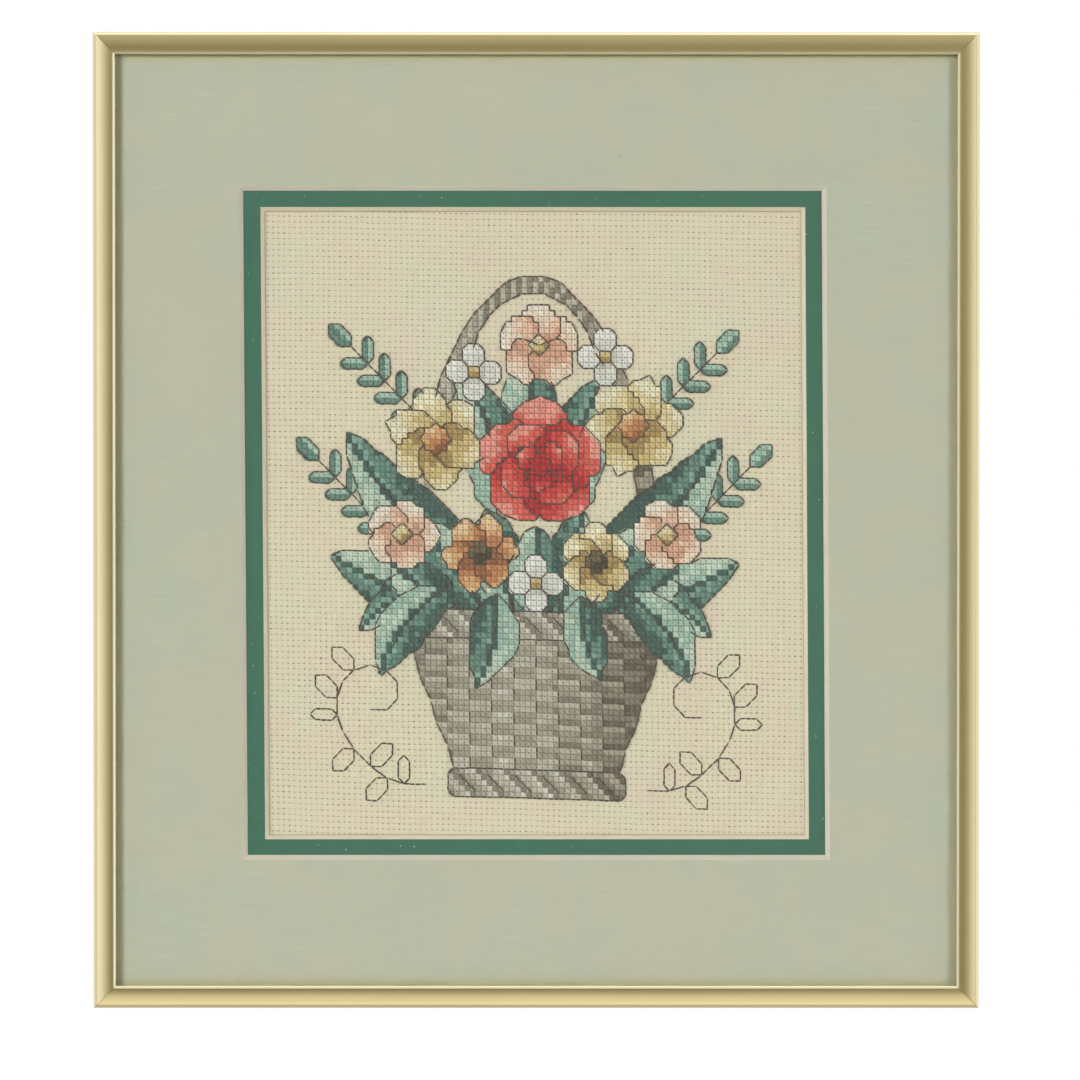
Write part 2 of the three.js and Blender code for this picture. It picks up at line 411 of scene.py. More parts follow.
def outward(mesh):
    """Turns the faces of a closed mesh outwards."""
    work = bmesh.new()
    work.from_mesh(mesh)
    bmesh.ops.recalc_face_normals(work, faces=work.faces)
    work.to_mesh(mesh)
    work.free()


def arc(cx, cy, radius, start, end, steps):
    """Points round an arc, both ends included."""
    return [(cx + radius * math.cos(a), cy + radius * math.sin(a)) for a in np.linspace(start, end, steps + 1)]


# The metal section: distances in from its outer edge, then depths behind its front
WALL, CREST, INNER, CHANNEL_WALL, REAR_LIP = 1.3, 1.15, 10.5, 1.1, 3.0
LIP_BACK, SHELF_FRONT, SHELF_BACK, REAR_LIP_FRONT = 2.7, 13.3, 14.3, 17.8


def rail_section():
    """The section's outline, as distance in from the outer edge and depth behind the front."""
    front, outer_lean, scoop_tilt, crest_radius = -math.pi / 2, math.radians(30), math.radians(35), 0.15
    crest = arc(CREST, crest_radius, crest_radius, front - outer_lean, front + scoop_tilt, 5)
    outer_radius = crest[0][0] / (1 - math.sin(outer_lean))
    outer_depth = crest[0][1] + outer_radius * math.cos(outer_lean)
    outline = arc(outer_radius, outer_depth, outer_radius, -math.pi, front - outer_lean, 14)[:-1] + crest
    scoop_end, (start_x, start_depth) = FACE - BEAD, crest[-1]
    radius = (scoop_end - start_x) / math.sin(scoop_tilt)
    centre = start_depth - radius * math.cos(scoop_tilt)
    outline += arc(scoop_end, centre, radius, math.pi / 2 + scoop_tilt, math.pi / 2, 30)[1:]

    from_side, to_side, groove, step = math.radians(4), math.radians(62), 0.06, 0.05
    bead_radius = (BEAD - groove) / (math.sin(to_side) - math.sin(from_side))
    bead_x = FACE - bead_radius * math.sin(to_side)
    outline += [(scoop_end + groove, outline[-1][1] - step)]
    outline += arc(bead_x, BEAD_FRONT + bead_radius, bead_radius, front + from_side, front + to_side, 16)

    outline += [(FACE, LIP_BACK), (WALL, LIP_BACK), (WALL, SHELF_FRONT), (INNER, SHELF_FRONT), (INNER, DEPTH),
                (INNER - REAR_LIP, DEPTH), (INNER - REAR_LIP, REAR_LIP_FRONT),
                (INNER - CHANNEL_WALL, REAR_LIP_FRONT), (INNER - CHANNEL_WALL, SHELF_BACK), (WALL, SHELF_BACK),
                (WALL, REAR_LIP_FRONT), (REAR_LIP, REAR_LIP_FRONT), (REAR_LIP, DEPTH), (0, DEPTH)]
    return np.array(outline)


def add_rail(name, length, turn, materials):
    """One mitred rail. Turn 0 is the bottom one, and each quarter turn carries it on round the picture."""
    mitre = 0.06
    section = rail_section()
    count = len(section)
    half = length / 2 - section[:, 0] - mitre
    away = (WIDTH if turn % 2 else HEIGHT) / 2 - section[:, 0]
    walked = np.concatenate([[0], np.cumsum(np.hypot(*np.diff(section, axis=0).T))])
    points, uv = [], []
    for end in (-1, 1):
        for k in range(count):
            x, z = end * half[k], -away[k]
            for _ in range(turn):
                x, z = -z, x
            points.append((x, section[k, 1], z))
            uv.append((end * half[k] / 1000, walked[k] / 1000))
    sides = np.array([(k, (k + 1) % count, count + (k + 1) % count, count + k) for k in range(count)])
    ends = np.array([range(count), range(2 * count - 1, count - 1, -1)])
    mesh = array_mesh(name, points, [sides, ends], "rail", np.array(uv))
    on_bead = (section[:, 0] > FACE - 0.99 * BEAD) & (section[:, 1] < BEAD_BACK)
    mesh.polygons.foreach_set("material_index", [int(bead) for bead in on_bead] + [0, 0])
    outward(mesh)
    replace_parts(finish_piece(mesh, name + "_fine", materials, smooth_below=28), name)


# Windows at the boards' backs: width, height, and the middle's x and z
OUTER_WINDOW = (187.1, 215.0, -0.6, -0.85)
INNER_WINDOW = (176.1 - 2 * MAT, 204.6 - 2 * MAT, -0.45, -0.95)
WINDOW_LEAN = 1.4


def rectangle(width, height, x=0.0, z=0.0, lean=0.0):
    """Corners from bottom left, anticlockwise. The top edge sits left of the bottom one by the lean."""
    return np.array([(x - width / 2 + lean / 2, z - height / 2), (x + width / 2 + lean / 2, z - height / 2),
                     (x + width / 2 - lean / 2, z + height / 2), (x - width / 2 - lean / 2, z + height / 2)])


def add_mat(name, back_window, front, papers):
    """A mat board with a bevelled window, its papers those of the face, core and foot of the bevel."""
    width, height, x, z = back_window

    def window(grow):
        return rectangle(width + 2 * grow, height + 2 * grow, x, z, WINDOW_LEAN)

    outside = rectangle(SHEET_WIDTH, SHEET_HEIGHT)
    nib, foot = 0.05, 0.28
    face, core, bevel_foot = range(3)
    # Corner loops from the outside's back round the front and bevel, with the paper of what follows each
    loops = [
        (outside, front + MAT, core), (outside, front, face),
        (window(MAT + nib), front, core), (window(MAT - nib), front + nib, core),
        (window(foot), front + MAT - foot, bevel_foot), (window(0), front + MAT, core),
    ]
    points = [(px, depth, pz) for corners, depth, _ in loops for px, pz in corners]
    faces = [(4 * k + c, 4 * k + (c + 1) % 4, 4 * after + (c + 1) % 4, 4 * after + c)
             for k in range(len(loops)) for after in [(k + 1) % len(loops)] for c in range(4)]
    mesh = array_mesh(name, points, [np.array(faces)])
    mesh.polygons.foreach_set("material_index", [paper for _, _, paper in loops for _ in range(4)])
    outward(mesh)
    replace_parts(finish_piece(mesh, name + "_board", papers), name)


# Chart: a basket of flowers in full and part crosses, with its outlines in back stitch. y counts upwards.
COLUMNS, ROWS = 98, 111

# Floss shades, darkest first, as display colours out of 255
RAMPS = {
    "teal": [(82, 110, 101), (116, 152, 137), (146, 181, 164), (176, 203, 185), (206, 221, 201)],
    "taupe": [(118, 110, 93), (150, 142, 124), (178, 171, 152), (202, 196, 178), (221, 216, 202)],
    "gold": [(184, 156, 102), (218, 197, 140), (236, 221, 176), (244, 236, 205)],
    "red": [(192, 58, 60), (217, 80, 74), (230, 112, 100), (241, 164, 147)],
    "peach": [(226, 178, 150), (240, 204, 177), (247, 224, 200), (249, 235, 217)],
    "rust": [(168, 114, 78), (206, 146, 98), (229, 181, 130), (240, 209, 166)],
    "brown": [(92, 80, 60), (126, 111, 86)],
    "white": [(210, 209, 197), (230, 228, 217), (241, 239, 231)],
}
SHADES = [(name, step) for name, shades in RAMPS.items() for step in range(len(shades))]
INDEX = {shade: number for number, shade in enumerate(SHADES)}

# Each square of the cloth is four quarters. A quarter holds its floss number, or -1 where the cloth is bare.
canvas = np.full((2 * ROWS, 2 * COLUMNS), -1)
lines = {}
quarter_y, quarter_x = np.mgrid[0:2 * ROWS, 0:2 * COLUMNS] * 0.5 + 0.25
cell_x, cell_y = np.floor(quarter_x) + 0.5, np.floor(quarter_y) + 0.5


def speckle(x, y, seed=0):
    """An even, unpatterned value from 0 to 1 for each square."""
    value = np.sin(x * 12.9898 + y * 78.233 + seed * 37.719) * 43758.5453
    return value - np.floor(value)


def inside(points):
    """Which quarters have their middle inside a closed outline."""
    result = np.zeros(canvas.shape, bool)
    for (x0, y0), (x1, y1) in zip(points, points[1:] + points[:1]):
        if y0 == y1:
            continue
        crosses = (quarter_y > min(y0, y1)) & (quarter_y <= max(y0, y1))
        at = x0 + (quarter_y - y0) * (x1 - x0) / (y1 - y0)
        result ^= crosses & (quarter_x < at)
    return result


def lattice(points):
    """The outline through the nearest holes of the cloth, with no hole twice in a row and no spikes."""
    holes = []
    for x, y in points:
        hole = (round(x), round(y))
        if not holes or holes[-1] != hole:
            holes.append(hole)
    changed = True
    while changed and len(holes) > 2:
        changed = False
        for i in range(len(holes)):
            a, b, c = holes[i - 1], holes[i], holes[(i + 1) % len(holes)]
            if a == c or a == b:
                del holes[i]
                changed = True
                break
    return holes


def covers(points, x, y):
    """Whether a closed outline holds a point."""
    odd = False
    for (x0, y0), (x1, y1) in zip(points, points[1:] + points[:1]):
        if (y0 > y) != (y1 > y) and x < x0 + (y - y0) * (x1 - x0) / (y1 - y0):
            odd = not odd
    return odd


def backstitch(points, closed=False):
    """Straight stitches from hole to hole."""
    ends = points[1:] + points[:1] if closed else points[1:]
    for (x0, y0), (x1, y1) in zip(points, ends):
        steps = math.gcd(x1 - x0, y1 - y0)
        for k in range(steps):
            a = (x0 + (x1 - x0) * k // steps, y0 + (y1 - y0) * k // steps)
            b = (x0 + (x1 - x0) * (k + 1) // steps, y0 + (y1 - y0) * (k + 1) // steps)
            lines[tuple(sorted((a, b)))] = True


def fill(outline, shade):
    """Stitches a shape over what is there: shade(x, y) gives a floss number for each square's middle."""
    holes = lattice(outline)
    if len(holes) < 3:
        return
    where = inside(holes)
    canvas[where] = shade(cell_x, cell_y)[where]
    for a, b in list(lines):
        x, y = (a[0] + b[0]) / 2, (a[1] + b[1]) / 2
        if all(covers(holes, x + dx, y + dy) for dx, dy in ((0.2, 0), (-0.2, 0), (0, 0.2), (0, -0.2))):
            del lines[(a, b)]
    backstitch(holes, closed=True)


def ramp(name, value):
    """Floss numbers along a ramp, darkest at 0 and lightest at 1."""
    count = len(RAMPS[name])
    return INDEX[(name, 0)] + np.clip(np.floor(value * count), 0, count - 1).astype(int)


def turned(x, y, cx, cy, angle):
    """Coordinates along and across a direction from a point."""
    dx, dy = x - cx, y - cy
    return dx * math.cos(angle) + dy * math.sin(angle), dy * math.cos(angle) - dx * math.sin(angle)


def laid_out(loop, cx, cy, angle):
    """Points given along and across a direction, back on the cloth."""
    return [(cx + a * math.cos(angle) - b * math.sin(angle), cy + a * math.sin(angle) + b * math.cos(angle))
            for a, b in loop]


def leaf(cx, cy, length, width, degrees, bend, light):
    """A pointed leaf from its stalk, light on one side of its rib."""
    angle = math.radians(degrees)
    spine = [(length * t, bend * math.sin(math.pi * t)) for t in np.linspace(0, 1, 13)]
    wide = [width / 2 * math.sin(math.pi * t ** 0.85) ** 0.75 for t in np.linspace(0, 1, 13)]
    loop = [(a, b + w) for (a, b), w in zip(spine, wide)]
    loop += [(a, b - w) for (a, b), w in reversed(list(zip(spine, wide)))]

    def shade(x, y):
        along, across = turned(x, y, cx, cy, angle)
        t = np.clip(along / length, 0, 1)
        middle = bend * np.sin(np.pi * t)
        off = (across - middle) * light / (width / 2)
        value = 0.52 + 0.34 * np.tanh(3 * off) - 0.22 * np.abs(off) + 0.18 * t
        value = value + 0.16 * (speckle(x, y, 1) - 0.5)
        value = np.where(np.abs(across - middle) < 0.5, 0.12, value)
        return ramp("teal", np.clip(value, 0, 0.999))

    fill(laid_out(loop, cx, cy, angle), shade)
    backstitch(lattice(laid_out(spine[:10:3], cx, cy, angle)))


def petal(cx, cy, length, width, degrees, name, base, tip):
    """A rounded petal from the flower's middle, its shades at base and tip, lit from the upper left."""
    angle = math.radians(degrees)
    side = [(length * t, width / 2 * math.sqrt(max(0.0, 1 - (2 * t ** 0.75 - 1) ** 2)))
            for t in np.linspace(0, 1, 15)]
    toward = math.cos(angle - math.radians(120))

    def shade(x, y):
        along, across = turned(x, y, cx, cy, angle)
        t = np.clip(along / length, 0, 1)
        value = base + (tip - base) * t ** 1.2 + 0.16 * toward - 0.4 * np.abs(across) / width
        return ramp(name, np.clip(value + 0.14 * (speckle(x, y, 2) - 0.5), 0, 0.999))

    fill(laid_out(side + [(a, -w) for a, w in reversed(side)], cx, cy, angle), shade)


def disc(cx, cy, radius, name, light):
    """A round middle of a flower, up to a light shade at its upper left."""
    def shade(x, y):
        lit = ((y - cy) * 0.87 - (x - cx) * 0.5) / radius
        value = light / 2 + light / 2 * lit + 0.1 * (speckle(x, y, 3) - 0.5)
        return ramp(name, np.clip(value, 0, 0.999))

    fill(arc(cx, cy, radius, 0, 2 * math.pi, 24)[:-1], shade)


def flower(cx, cy, radius, count, name, width, turn, centre, centre_size, base):
    """An open flower of one ring of petals about a disc."""
    for k in range(count):
        petal(cx, cy, radius, radius * width, turn + k * 360 / count, name, base, 1.0)
    disc(cx, cy, radius * centre_size, centre, 0.95)


def rose(cx, cy, radius, name, turn):
    """A full rose: three rings of petals, smaller and darker inwards."""
    for ring, (scale, count) in enumerate(((1.0, 5), (0.70, 4), (0.42, 3))):
        length = radius * scale
        for k in range(count):
            petal(cx, cy, length, length * 1.08, turn + k * 360 / count + ring * 31, name,
                  -0.05 - 0.05 * ring, 1.05 - 0.06 * ring)
    disc(cx, cy, radius * 0.17, name, 0.3)


def small_leaf(x, y, way, length):
    """A small pointed leaf's outline on the holes of the cloth. Its way is in eighths of a turn from the right."""
    if way % 2:
        loop = [(0, 0), (0, 2), (length - 2, length), (length, length), (length, length - 2), (2, 0)]
    else:
        loop = [(0, 0), (1, 1), (length - 1, 1), (length, 0), (length - 1, -1), (1, -1)]
    for _ in range(way // 2):
        loop = [(-b, a) for a, b in loop]
    return [(x + a, y + b) for a, b in loop]


def leaflet(x, y, way, length, light):
    """A small stitched leaf, light on one side of its middle."""
    angle = math.radians(45 * way)

    def shade(px, py):
        across = turned(px, py, x, y, angle)[1] * light
        value = 0.5 + 0.2 * np.sign(across) + 0.2 * (speckle(px, py, 1) - 0.5)
        return ramp("teal", np.clip(value, 0, 0.999))

    fill(small_leaf(x, y, way, length), shade)


def sprig(x, y, side, count, length):
    """A twig that climbs outward to one side, with leaves straight up and straight out from it."""
    out, diagonal = (0, 1) if side > 0 else (4, 3)
    end = (x + side * 3 * count, y + 3 * count)
    backstitch([(x, y), end])
    for k in range(count):
        px, py = x + side * 3 * k, y + 3 * k
        leaflet(px, py, 2, length, side)
        leaflet(px, py, out, length, side)
    leaflet(*end, diagonal, 4, side)


def blossom(cx, cy, name):
    """A small flower of four rounded petals about a square middle."""
    loop = [(-1, 1), (-2, 2), (-2, 4), (-1, 5), (1, 5), (2, 4), (2, 2), (1, 1)]

    def shade(x, y):
        away = np.hypot(x - cx, y - cy) / 5
        value = 0.05 + 0.9 * away + 0.12 * ((y - cy) - (x - cx)) / 5
        return ramp(name, np.clip(value, 0, 0.999))

    for _ in range(4):
        loop = [(-b, a) for a, b in loop]
        fill([(cx + a, cy + b) for a, b in loop], shade)
    middle = [(cx - 1, cy - 1), (cx + 1, cy - 1), (cx + 1, cy + 1), (cx - 1, cy + 1)]
    fill(middle, lambda x, y: ramp("gold", np.clip(0.35 + 0.2 * (y - cy), 0, 0.999)))


def basket(cx, bottom, top, low_half, high_half):
    """Woven wicker, wider at the top, with its over-and-under blocks."""
    def half(y):
        t = np.clip((y - bottom) / (top - bottom), 0, 1)
        return low_half + (high_half - low_half) * math.sin(t * math.pi / 2) ** 1.3

    right = [(cx + half(y), y) for y in range(bottom, top + 1, 4)]

    def shade(x, y):
        over = (np.floor((x - cx + 100) / 4) + np.floor((y - bottom) / 2)) % 2
        within = ((x - cx + 100) % 4) / 4
        across = (x - cx) / high_half
        value = 0.62 - 0.40 * np.clip(across, -1, 1) ** 2 - 0.20 * across
        value = value + np.where(over == 1, 0.11, -0.10) - 0.10 * np.abs(within - 0.5)
        value = value + np.where((y - bottom) % 2 > 1, 0.06, -0.06) - 0.16 * (y > top - 2)
        return ramp("taupe", np.clip(value, 0, 0.999))

    fill(right + [(2 * cx - x, y) for x, y in reversed(right)], shade)
    for k in range(-5, 6):
        for y in range(bottom, top - 1, 2):
            if (k + (y - bottom) // 2) % 2 and abs(4 * k) < half(y) - 1:
                backstitch([(cx + 4 * k, y), (cx + 4 * k, y + 2)])


def band(cx, bottom, half, height):
    """A plaited band with slanting strands."""
    edge = [(cx - half, bottom), (cx - half + 1, bottom - 1), (cx + half - 1, bottom - 1), (cx + half, bottom)]
    edge += [(x, 2 * bottom + height - y) for x, y in reversed(edge)]

    def shade(x, y):
        across = (x - cx) / half
        value = 0.34 + 0.13 * ((x + y) % 5) - 0.25 * across ** 2 - 0.12 * across
        return ramp("taupe", np.clip(value, 0, 0.999))

    fill(edge, shade)
    for k in range(cx - half + 2, cx + half - 1, 5):
        backstitch([(k, bottom + height), (k + 3, bottom)])


def handle(cx, base, rx, ry, thick):
    """The arched handle, wound with cane."""
    turns = np.linspace(0, math.pi, 33)
    arch = [(cx + rx * math.cos(a), base + ry * math.sin(a)) for a in turns]
    arch += [(cx + (rx - thick) * math.cos(a), base + (ry - thick) * math.sin(a)) for a in turns[::-1]]

    def shade(x, y):
        angle = np.arctan2((y - base) / ry, (x - cx) / rx)
        away = np.hypot((x - cx) / rx, (y - base) / ry)
        wound = (angle * 22 + (away - 1) * 9) % 2
        value = 0.45 + np.where(wound > 1, 0.22, -0.12) - 0.18 * np.cos(angle)
        return ramp("taupe", np.clip(value, 0, 0.999))

    fill(arch, shade)


def tendrils(cx):
    """A curling stem with open leaves on each side of the basket, in back stitch alone."""
    stem = [(69, 9), (73, 9), (76, 10), (79, 12), (82, 15), (84, 18), (85, 21), (85, 24), (84, 27), (82, 29),
            (79, 30), (76, 29), (74, 27), (74, 24), (76, 22), (79, 22)]
    sprouts = [(73, 9, 2, 5), (76, 10, 7, 4), (79, 12, 3, 4), (82, 15, 7, 4), (85, 21, 0, 5), (85, 24, 1, 4),
               (82, 29, 1, 4)]
    for side in (1, -1):
        backstitch([(cx + side * (x - cx), y) for x, y in stem])
        for x, y, way, length in sprouts:
            backstitch([(cx + side * (px - cx), py) for px, py in small_leaf(x, y, way, length)], closed=True)


def draw_chart():
    """The whole design, from what lies behind to what lies in front."""
    cx = COLUMNS // 2
    handle(cx, 38, 23.5, 61, 3)
    for side in (-1, 1):
        sprig(cx + 21 * side, 74, side, 4, 5)
        sprig(cx + 27 * side, 54, side, 4, 5)
    for x, y, length, width, degrees, bend, light in (
        (49, 62, 28, 10, 90, 1, 1), (42, 56, 28, 11, 105, -3, 1), (56, 56, 28, 11, 75, 3, -1),
        (38, 50, 31, 11, 138, 3, 1), (60, 50, 31, 11, 42, -3, -1), (36, 45, 24, 10, 170, 3, -1),
        (62, 45, 24, 10, 10, -3, 1), (38, 44, 22, 9, 200, -3, 1), (60, 44, 22, 9, -20, 3, -1),
        (40, 40, 20, 10, 128, 0, -1), (58, 40, 20, 10, 52, 0, 1), (45, 39, 20, 10, 104, 0, 1),
        (53, 39, 20, 10, 76, 0, -1), (49, 39, 16, 10, 90, 0, 1), (34, 39, 15, 9, 140, 0, 1),
        (64, 39, 15, 9, 40, 0, -1),
    ):
        leaf(x, y, length, width, degrees, bend, light)
    basket(cx, 12, 37, 15, 22)
    band(cx, 8, 16, 3)
    band(cx, 36, 24, 3)
    for x, y, length, width, degrees, bend, light in (
        (33, 44, 20, 9, 232, -2, -1), (65, 44, 20, 9, -52, 2, 1), (42, 43, 17, 9, 258, 1, 1),
        (57, 43, 15, 8, -76, -1, -1),
    ):
        leaf(x, y, length, width, degrees, bend, light)
    flower(50, 87, 7.5, 5, "peach", 1.05, 18, "gold", 0.22, 0.0)
    flower(67, 73, 9, 6, "gold", 0.84, 12, "rust", 0.28, 0.15)
    flower(31, 70, 9, 6, "gold", 0.84, 42, "rust", 0.28, 0.15)
    flower(73, 54, 6.5, 5, "peach", 1.05, 40, "gold", 0.25, 0.0)
    flower(25, 53, 6.5, 5, "peach", 1.05, 0, "gold", 0.25, 0.0)
    blossom(38, 82, "white")
    blossom(62, 85, "white")
    rose(50, 66, 11.5, "red", 90)
    flower(39, 50, 7.0, 6, "rust", 0.8, 10, "brown", 0.28, 0.1)
    flower(60, 49, 7.0, 6, "gold", 0.8, 30, "brown", 0.28, 0.1)
    blossom(49, 45, "white")
    tendrils(cx)


# Where the cloth's squares lie: their pitch, the field's middle, and how its lines lean
PITCH_X, PITCH_Z = 1.79, 1.84
GRID_X, GRID_Z = -0.45, -0.95
COLUMN_LEAN = math.tan(math.radians(0.4))
ROW_SLOPE_TOP, ROW_SLOPE_BOTTOM = math.tan(math.radians(0.65)), math.tan(math.radians(1.6))
# Squares beyond the chart on each side that the wandering reaches
SPARE = 4

pull = random.normal(0, 1, (2, ROWS + 2 * SPARE + 1, COLUMNS + 2 * SPARE + 1))


def waves(i, j, seed):
    """A slow, small wandering of the weave, in millimetres."""
    return (0.16 * np.sin(i * 0.11 + j * 0.037 + seed) + 0.10 * np.sin(j * 0.19 - i * 0.05 + 2.1 * seed)
            + 0.05 * np.sin(i * 0.43 + j * 0.31 + 4.7 * seed))


def weave(i, j):
    """Where a place of the weave lies, in picture millimetres. Whole numbers are holes, from the lower left."""
    i, j = np.asarray(i, float), np.asarray(j, float)
    low_i = np.clip(np.floor(i).astype(int) + SPARE, 0, COLUMNS + 2 * SPARE - 1)
    low_j = np.clip(np.floor(j).astype(int) + SPARE, 0, ROWS + 2 * SPARE - 1)
    fi, fj = i + SPARE - low_i, j + SPARE - low_j
    shift = [0.028 * (p[low_j, low_i] * (1 - fi) * (1 - fj) + p[low_j, low_i + 1] * fi * (1 - fj)
                      + p[low_j + 1, low_i] * (1 - fi) * fj + p[low_j + 1, low_i + 1] * fi * fj) for p in pull]
    right, up = (i - COLUMNS / 2) * PITCH_X, (j - ROWS / 2) * PITCH_Z
    slope = ROW_SLOPE_BOTTOM + (ROW_SLOPE_TOP - ROW_SLOPE_BOTTOM) * j / ROWS
    x = GRID_X + right - COLUMN_LEAN * up + waves(i, j, 1.0) + shift[0]
    z = GRID_Z + up - slope * right + waves(i, j, 2.6) + shift[1]
    return x, z


# How much of a square each rim takes, and how deep holes and rims sink
RIM_SHARE, HOLE_DIP, RIM_DIP = 0.15, 0.34, 0.06


def floss_shade_share(i, j):
    """How much of the cloth about a place of the weave lies under stitches, from 0 to 1: the share of painted shade
    there.
    """
    stitched = np.pad((canvas >= 0).astype(float), 2 * SPARE)
    total = np.zeros(i.shape)
    for di in (-0.1, 0.1):
        for dj in (-0.1, 0.1):
            column = np.floor(2 * (i + di)).astype(int) + 2 * SPARE
            row = np.floor(2 * (j + dj)).astype(int) + 2 * SPARE
            total += stitched[row, column]
    return total / 4


def add_cloth(material):
    """The stretched sheet. Squares that show have a raised middle, sunk rims and a pit at each corner.

    Those that the mats hide are flat.
    """
    low = -2
    wide, tall = COLUMNS - 2 * low, ROWS - 2 * low
    shares = np.array([0, RIM_SHARE, 1 - RIM_SHARE])
    along = np.append((np.arange(wide)[:, None] + shares).ravel(), wide) + low
    upward = np.append((np.arange(tall)[:, None] + shares).ravel(), tall) + low
    i, j = np.meshgrid(along, upward)
    x, z = weave(i, j)

    on_x = np.isclose(i % 1, 0)
    on_z = np.isclose(j % 1, 0)
    dip = np.where(on_x & on_z, HOLE_DIP, np.where(on_x | on_z, RIM_DIP, 0.0))
    dip = dip + 0.03 * random.normal(0, 1, dip.shape) * (dip > 0) + 0.012 * random.normal(0, 1, dip.shape)
    points = np.stack([x, CLOTH_FRONT + np.maximum(dip, 0), z], -1).reshape(-1, 3)
    uv = np.stack([i, j], -1).reshape(-1, 2)
    # How much painted shade the cloth takes under the stitches at each point
    shaded = floss_shade_share(i, j).ravel()
    row = len(along)

    middle_x, middle_z = weave(*np.meshgrid(np.arange(wide) + low + 0.5, np.arange(tall) + low + 0.5))
    window_width, window_height, window_x, window_z = INNER_WINDOW
    leaning = middle_x - window_x + WINDOW_LEAN * (middle_z - window_z) / window_height
    shown = ((np.abs(leaning) < (window_width + PITCH_X) / 2)
             & (np.abs(middle_z - window_z) < (window_height + PITCH_Z) / 2))
    cells_j, cells_i = np.nonzero(shown)
    corner = 3 * cells_j * row + 3 * cells_i
    quads = [np.stack([c, c + 1, c + 1 + row, c + row], -1)
             for c in (corner + b * row + a for a in range(3) for b in range(3))]
    plain = {}

    def seen(a, b):
        return 0 <= a < wide and 0 <= b < tall and shown[b, a]

    for b, a in zip(*np.nonzero(~shown)):
        base = 3 * b * row + 3 * a
        loop = [base] + ([base + 1, base + 2] if seen(a, b - 1) else [])
        loop += [base + 3] + ([base + 3 + row, base + 3 + 2 * row] if seen(a + 1, b) else [])
        loop += [base + 3 + 3 * row] + ([base + 2 + 3 * row, base + 1 + 3 * row] if seen(a, b + 1) else [])
        loop += [base + 3 * row] + ([base + 2 * row, base + row] if seen(a - 1, b) else [])
        plain.setdefault(len(loop), []).append(loop)

    # From the woven field's edge out to the cut edge, round it and across the back
    rim = [3 * a for a in range(wide)] + [3 * wide + 3 * b * row for b in range(tall)]
    rim += [3 * tall * row + 3 * (wide - a) for a in range(wide)] + [3 * (tall - b) * row for b in range(tall)]
    corners = rectangle(CLOTH_WIDTH, CLOTH_HEIGHT)
    edge = []
    for k, count in enumerate((wide, tall, wide, tall)):
        edge += [corners[k] + (corners[(k + 1) % 4] - corners[k]) * t / count for t in range(count)]
    edge = np.array(edge)
    count = len(rim)
    first = len(points)
    front = np.column_stack([edge[:, 0], np.full(count, CLOTH_FRONT + 0.1), edge[:, 1]])
    back = np.column_stack([edge[:, 0], np.full(count, CLOTH_BACK), edge[:, 1]])
    points = np.concatenate([points, front, back])
    edge_uv = edge * (1 / PITCH_X, 1 / PITCH_Z) + (COLUMNS / 2, ROWS / 2)
    uv = np.concatenate([uv, edge_uv, edge_uv])
    shaded = np.concatenate([shaded, np.zeros(2 * count)])
    after = np.roll(np.arange(count), -1)
    rim = np.array(rim)
    outer = np.arange(count) + first
    quads.append(np.stack([outer, outer[after], rim[after], rim], -1))
    quads.append(np.stack([outer + count, outer[after] + count, outer[after], outer], -1))
    back_face = (outer + count)[::-1][None, :]

    groups = [np.concatenate(quads)] + [np.array(loops) for loops in plain.values()] + [back_face]
    used = np.unique(np.concatenate([g.ravel() for g in groups]))
    renumber = np.zeros(len(points), int)
    renumber[used] = np.arange(len(used))
    mesh = array_mesh("aida_cloth", points[used], [renumber[g] for g in groups], "weave", uv[used])
    floss_shade_attribute = mesh.attributes.new("floss_shade_share", "FLOAT", "POINT")
    floss_shade_attribute.data.foreach_set("value", shaded[used].astype(np.float32))
    piece = finish_piece(mesh, "aida_cloth", [material], smooth_below=60)
    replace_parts(piece, "cloth")
    return piece


# Corners of a strand's section, and how far its tips stand in from the holes as a share of its length
SIDES, TIP = 5, 0.02


